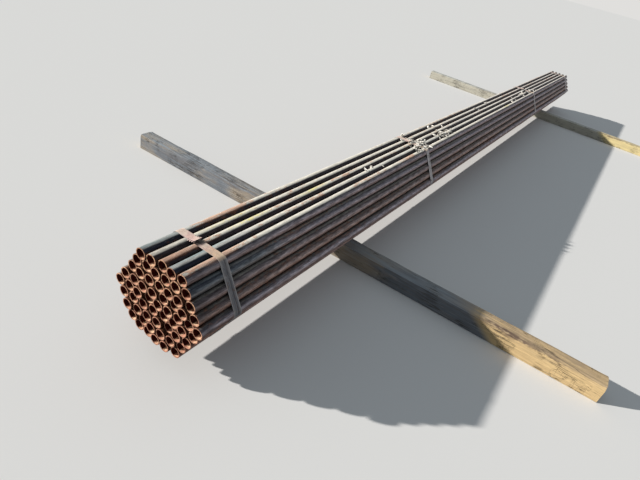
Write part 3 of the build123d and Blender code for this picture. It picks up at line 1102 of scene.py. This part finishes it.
# Uneven faces and worn edges: (texture, vertex group, its stretch, depth)
TIMBER_WEAR = (
    ("fibre", "sunk", (0.35, 0.012, 0.012), 1.3 * MM),
    ("wane", "wear_and_sheen", (0.20, 0.05, 0.05), 7 * MM),
)


def cut_through(axis, place):
    """Cuts the timber being edited along its whole length, square to an axis."""
    normal = [float(number == axis) for number in range(3)]
    bpy.ops.mesh.select_all(action="SELECT")
    bpy.ops.mesh.bisect(plane_co=[place * part for part in normal], plane_no=normal)


def open_crack(beam, look, axis, place, middle, reach, rng):
    """Pushes a short stretch of the middle of a crack's three cuts into its face."""
    half = look.section / 2
    other = Y + Z - axis
    sign = rng.choice((-1, 1)) if other == Y else 1
    push = [0, 0, 0]
    push[other] = -sign * rng.uniform(*CRACK_DEPTHS) * MM

    def in_crack(vert):
        on_face = abs(vert.co[axis] - place) < 0.3 * MM and sign * vert.co[other] > half - 0.5 * MM
        return on_face and abs(vert.co.x - middle * look.length / 2) < reach

    pick(beam, "VERT", in_crack)
    bpy.ops.transform.translate(value=push)


def make_bearer(node, look, angle, seed):
    """One timber: a beam with eased edges, uneven faces and long checks."""
    low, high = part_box(node)
    half = look.section / 2
    only(None)
    bpy.ops.mesh.primitive_cube_add(size=1.0, location=(0, 0, 0))
    beam = added(f"timber_{node}")
    beam.scale = (look.length, look.section, look.section)
    settle(beam)
    bpy.ops.object.mode_set(mode="EDIT")
    pick_long_edges(beam, X, look.length)
    bpy.ops.mesh.bevel(offset=look.edge, segments=2, affect="EDGES")
    for step in range(1, STRIPS_ACROSS):
        for axis in (Y, Z):
            cut_through(axis, -half + look.section * step / STRIPS_ACROSS)
    rng = random.Random(seed)
    cracks = []
    for _ in range(CRACKS):
        axis, place = rng.choice((Y, Z)), rng.uniform(-0.75, 0.75) * half
        middle, reach = rng.uniform(-0.9, 0.9), rng.uniform(0.12, 0.45)
        cracks.append((axis, place, middle, reach))
    for axis, place, _, _ in cracks:
        for side in (-CRACK_HALF_WIDTH, 0, CRACK_HALF_WIDTH):
            cut_through(axis, place + side)
    pick_long_edges(beam, X, look.length)
    bpy.ops.mesh.subdivide(number_cuts=CUTS_ALONG)
    for axis, place, middle, reach in cracks:
        open_crack(beam, look, axis, place, middle, reach, rng)
    bpy.ops.object.mode_set(mode="OBJECT")
    roughen_timber(beam, look, seed)
    stain_timber(beam, look)
    beam.rotation_euler = (0, 0, angle)
    beam.location = ((low.x + high.x) / 2, (low.y + high.y) / 2, half)
    settle(beam)
    bpy.ops.object.shade_smooth_by_angle(angle=math.radians(40))
    return beam


def roughen_timber(beam, look, seed):
    """Lets the faces sink unevenly, most at the edges, and least where the pipes lie."""
    half = look.section / 2
    sunk = beam.vertex_groups.new(name="sunk")
    wear_and_sheen = beam.vertex_groups.new(name="wear_and_sheen")
    for vert in beam.data.vertices:
        x, y, z = vert.co
        under_pipes = 1 - min(1, max(0, (abs(x) - 0.12) / 0.06))
        flat = z > half - 1 * MM
        sunk.add([vert.index], 0.12 if flat and under_pipes > 0 else 1.0, "REPLACE")
        corner = max(0.0, (min(abs(y), abs(z)) / half - 0.62) / 0.38)
        wear_and_sheen.add([vert.index], corner * (1 - 0.9 * under_pipes) if z > -half * 0.5 else 0.0, "REPLACE")
    only(None)
    bpy.ops.object.empty_add(location=(seed, 0.3, 0.7))
    guide = bpy.context.object
    for name, group, stretch, depth in TIMBER_WEAR:
        texture = bpy.data.textures.new(name, "CLOUDS")
        texture.noise_scale = 1.0
        texture.noise_depth = 2
        guide.scale = stretch
        bpy.context.view_layer.update()
        modify(
            beam,
            "DISPLACE",
            texture=texture,
            texture_coords="OBJECT",
            texture_coords_object=guide,
            vertex_group=group,
            strength=depth,
            mid_level=1.0,
        )
    bpy.data.objects.remove(guide)


def stain_timber(beam, look):
    """Marks the dark stain along the upper front edge, towards the right end."""
    half = look.section / 2
    points = points_of(beam.data)
    along = points[:, X]
    above = points[:, Z] - half
    near_edge = np.clip(1 - np.hypot(points[:, Y] + 0.72 * half, above) / 0.024, 0, 1)
    arris = np.clip(1 - np.hypot(points[:, Y] + half, above) / 0.009, 0, 1)
    stain = near_edge * (bump_at(along, 0.90, 0.16) + 0.35 * bump_at(along, 1.08, 0.22))
    stain = stain + 0.35 * near_edge * bump_at(along, -0.5, 0.4)
    stain = stain + 0.9 * arris * bump_at(along, 1.05, 0.32)
    set_attribute(beam.data, "stain", np.clip(stain * 1.6, 0, 1))


class PIPE_BUNDLE_OT_bearers(bpy.types.Operator):
    """Put the two timbers under the pipes"""

    bl_idname = "pipe_bundle.bearers"
    bl_label = "Set Bearers"
    bl_options = {"REGISTER", "UNDO"}

    def execute(self, context):
        look = context.scene.bearer_look
        materials = [timber_material(look), end_grain_material(look)]
        for node, angle in (("bearer_near", look.near_angle), ("bearer_far", look.far_angle)):
            beam = make_bearer(node, look, angle, BEARER_SEEDS[node])
            give_materials(beam, *materials)
            for face in beam.data.polygons:
                face.material_index = 1 if abs(face.normal.x) > 0.9 else 0
            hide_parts(node)
            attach(beam, BODY)
        return {"FINISHED"}


# Leaves

LEAF_SEED = 7
# Where the leaves lie: (middle x, middle y behind the near end, spread x, spread y, share of all)
DRIFTS = [
    (0.034, 1.82, 0.040, 0.11, 0.48),
    (0.036, 2.18, 0.020, 0.12, 0.27),
    (0.050, 1.25, 0.030, 0.12, 0.03),
    (-0.045, 2.15, 0.015, 0.10, 0.02),
    (-0.055, 3.10, 0.015, 0.80, 0.03),
    (0.052, 4.22, 0.014, 0.50, 0.17),
]
# No leaf lies further out than this
LEFTMOST, RIGHTMOST = -0.1, 0.092
# In millimetres: a leaf's height over a pipe's crest, how much lower it lies in a valley, and its play
OVER_CREST, VALLEY, PLAY = 3, 9, 5


def make_leaf():
    """One dry leaf: a grid drawn in to two points, cupped and curled."""
    only(None)
    bpy.ops.mesh.primitive_grid_add(x_subdivisions=6, y_subdivisions=2, size=1.0, location=(0, 0, 0))
    leaf = added("leaf")
    bpy.ops.object.mode_set(mode="EDIT")
    for reach, share in ((0.5, 0.08), (0.333, 0.62), (0.1667, 0.9), (0.0, 1.0)):
        pick(leaf, "VERT", lambda vert: abs(abs(vert.co.x) - reach) < 0.02)
        bpy.ops.transform.resize(value=(1, 0.5 * share, 1))
    pick(leaf, "VERT", lambda vert: abs(vert.co.y) < 0.005)
    bpy.ops.transform.translate(value=(0, 0, -0.07))
    modify(leaf, "SIMPLE_DEFORM", deform_method="BEND", angle=math.radians(150), deform_axis="Y")
    modify(leaf, "SOLIDIFY", thickness=0.016, offset=0.0)
    bpy.ops.object.shade_smooth_by_angle(angle=math.radians(50))
    return leaf


class PIPE_BUNDLE_OT_leaves(bpy.types.Operator):
    """Drop dry leaves into the valleys between the top pipes"""

    bl_idname = "pipe_bundle.leaves"
    bl_label = "Drop Leaves"
    bl_options = {"REGISTER", "UNDO"}

    def execute(self, context):
        look, pipes = context.scene.litter_look, context.scene.pipe_look
        rng = random.Random(LEAF_SEED)
        model = make_leaf()
        give_materials(model, leaf_material(look))
        leaves = []
        for mid_x, mid_y, wide, long, share in DRIFTS:
            for _ in range(round(look.count * share)):
                only(model)
                bpy.ops.object.duplicate(linked=False)
                leaf = bpy.context.object
                set_attribute(leaf.data, "tone", [rng.random()] * len(leaf.data.vertices))
                size = look.size * rng.uniform(0.55, 1.2)
                leaf.scale = (size, size, size)
                leaf.rotation_euler = [rng.uniform(-0.5, 0.5), rng.uniform(-0.5, 0.5), rng.uniform(0, 6.28)]
                x = min(RIGHTMOST, max(LEFTMOST, rng.gauss(mid_x, wide)))
                crest = abs(math.cos(math.pi * x / pipes.pitch))
                z = TOP_ROW_HIGH.z + OVER_CREST * MM - VALLEY * MM * (1 - crest) + rng.uniform(0, PLAY) * MM
                leaf.location = (x, NEAR_END_Y + rng.gauss(mid_y, long / 2), z)
                leaves.append(leaf)
        piece = join(leaves, "dry_leaves")
        settle(piece)
        bpy.data.objects.remove(model)
        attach(piece, BODY)
        return {"FINISHED"}


# Stage

FLOOR_SIZE = 160
TOWARDS_KEY = Vector((-0.770, -0.510, 0.364))
SENSOR_WIDTH = 36.0
VIEW_REACH = 300.0


def light_stage(context, look):
    """A soft key light from the left, and plain light all round."""
    turn = TOWARDS_KEY.to_track_quat("Z", "Y").to_euler()
    bpy.ops.object.light_add(type="SUN", location=(-4, -3, 3), rotation=turn)
    key = context.object
    key.name = "key"
    key.data.energy = look.key
    key.data.angle = look.key_softness
    key.data.color = (1.0, 0.97, 0.93)

    world = bpy.data.worlds.new("Studio")
    world.use_nodes = True
    context.scene.world = world
    sheet = Sheet(world.node_tree)
    back = world.node_tree.nodes["Background"]
    seen = seen_directly(sheet)
    sheet.feed(back.inputs["Color"], sheet.mix(seen, (0.81, 0.91, 1.0), look.floor_colour))
    sheet.feed(back.inputs["Strength"], sheet.span(seen, 0.0, 1.0, look.fill, 0.9, smooth=False))


def place_camera(context, look):
    """The camera at the photograph's viewing angle."""
    turn = Matrix.Rotation(look.camera_turn, 4, "Z")
    dip = Matrix.Rotation(math.pi / 2 - look.camera_dip, 4, "X")
    roll = Matrix.Rotation(look.camera_roll, 4, "Z")
    bpy.ops.object.camera_add(location=look.camera_place, rotation=(turn @ dip @ roll).to_euler())
    camera = context.object
    camera.name = "camera"
    camera.data.lens = look.lens
    camera.data.sensor_width = SENSOR_WIDTH
    camera.data.clip_end = VIEW_REACH
    context.scene.camera = camera


class PIPE_BUNDLE_OT_stage(bpy.types.Operator):
    """Set up the floor, the lights and the camera"""

    bl_idname = "pipe_bundle.stage"
    bl_label = "Set Stage"
    bl_options = {"REGISTER", "UNDO"}

    def execute(self, context):
        look = context.scene.stage_look
        only(None)
        bpy.ops.mesh.primitive_plane_add(size=FLOOR_SIZE, location=(0, 0, 0))
        floor = added("floor")
        give_materials(floor, floor_material(look))
        light_stage(context, look)
        place_camera(context, look)
        context.scene.view_settings.view_transform = "Standard"
        return {"FINISHED"}


# Sidebar

# Each group's settings in the scene, and its operator
LOOKS = {
    "pipe_look": (PipeSettings, PIPE_BUNDLE_OT_pipes),
    "strap_look": (StrapSettings, PIPE_BUNDLE_OT_straps),
    "bearer_look": (BearerSettings, PIPE_BUNDLE_OT_bearers),
    "litter_look": (LitterSettings, PIPE_BUNDLE_OT_leaves),
    "stage_look": (StageSettings, PIPE_BUNDLE_OT_stage),
}


class PIPE_BUNDLE_PT_sidebar(bpy.types.Panel):
    """Lists each group's settings above its button"""

    bl_idname = "PIPE_BUNDLE_PT_sidebar"
    bl_label = "Pipe Bundle"
    bl_space_type = "VIEW_3D"
    bl_region_type = "UI"
    bl_category = "Pipes"

    def draw(self, context):
        for name, (_, operator) in LOOKS.items():
            box = self.layout.box()
            look = getattr(context.scene, name)
            for setting in look.bl_rna.properties:
                if not setting.is_readonly and setting.identifier != "name":
                    box.prop(look, setting.identifier)
            box.operator(operator.bl_idname)


CLASSES = [*(item for pair in LOOKS.values() for item in pair), PIPE_BUNDLE_PT_sidebar]


def register():
    for item in CLASSES:
        bpy.utils.register_class(item)
    for name, (settings, _) in LOOKS.items():
        setattr(bpy.types.Scene, name, bpy.props.PointerProperty(type=settings))


def unregister():
    for name in LOOKS:
        delattr(bpy.types.Scene, name)
    for item in reversed(CLASSES):
        bpy.utils.unregister_class(item)


def main():
    register()
    bpy.ops.pipe_bundle.stage()
    bpy.ops.pipe_bundle.pipes()
    bpy.ops.pipe_bundle.straps()
    bpy.ops.pipe_bundle.bearers()
    bpy.ops.pipe_bundle.leaves()


if __name__ == "__main__":
    main()
